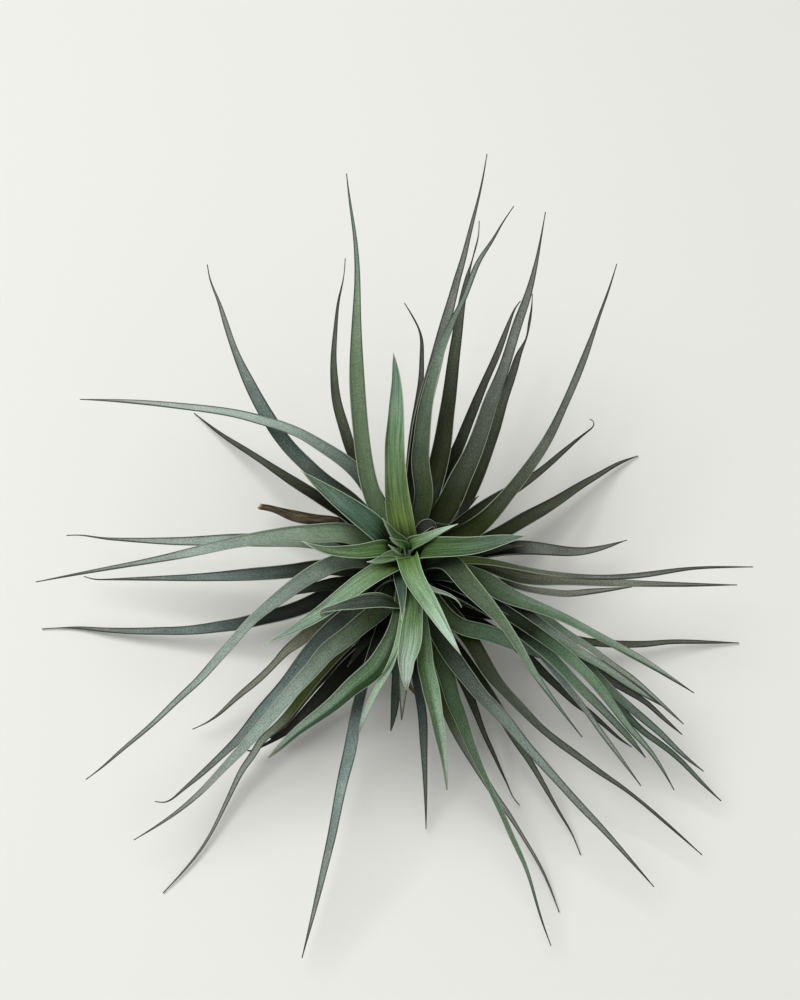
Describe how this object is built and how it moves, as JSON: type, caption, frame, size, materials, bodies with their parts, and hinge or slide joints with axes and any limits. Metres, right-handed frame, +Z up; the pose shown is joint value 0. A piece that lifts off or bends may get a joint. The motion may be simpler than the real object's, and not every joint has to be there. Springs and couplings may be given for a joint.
{
  "type": "air plant",
  "caption": "Dark bromeliad air plant: a loose rosette of narrow channelled leaves with a bright green heart, free-standing on its woody foot.",
  "frame": {"origin": "centre of the flat face under the woody foot, on the surface that the plant stands on", "axes": "+Z up along the stem, -Y towards the side that the picture was taken from, +X to the picture's right"},
  "size_m": [0.1882, 0.1979, 0.0804],
  "materials": {
    "dry_leaf": "matte",
    "mature_leaf": "matte",
    "heart_leaf": "matte"
  },
  "bodies": {
    "root": {"dry_base": "dry_leaf", "mature_leaves": "mature_leaf", "heart_leaves": "heart_leaf"}
  },
  "joints": []
}
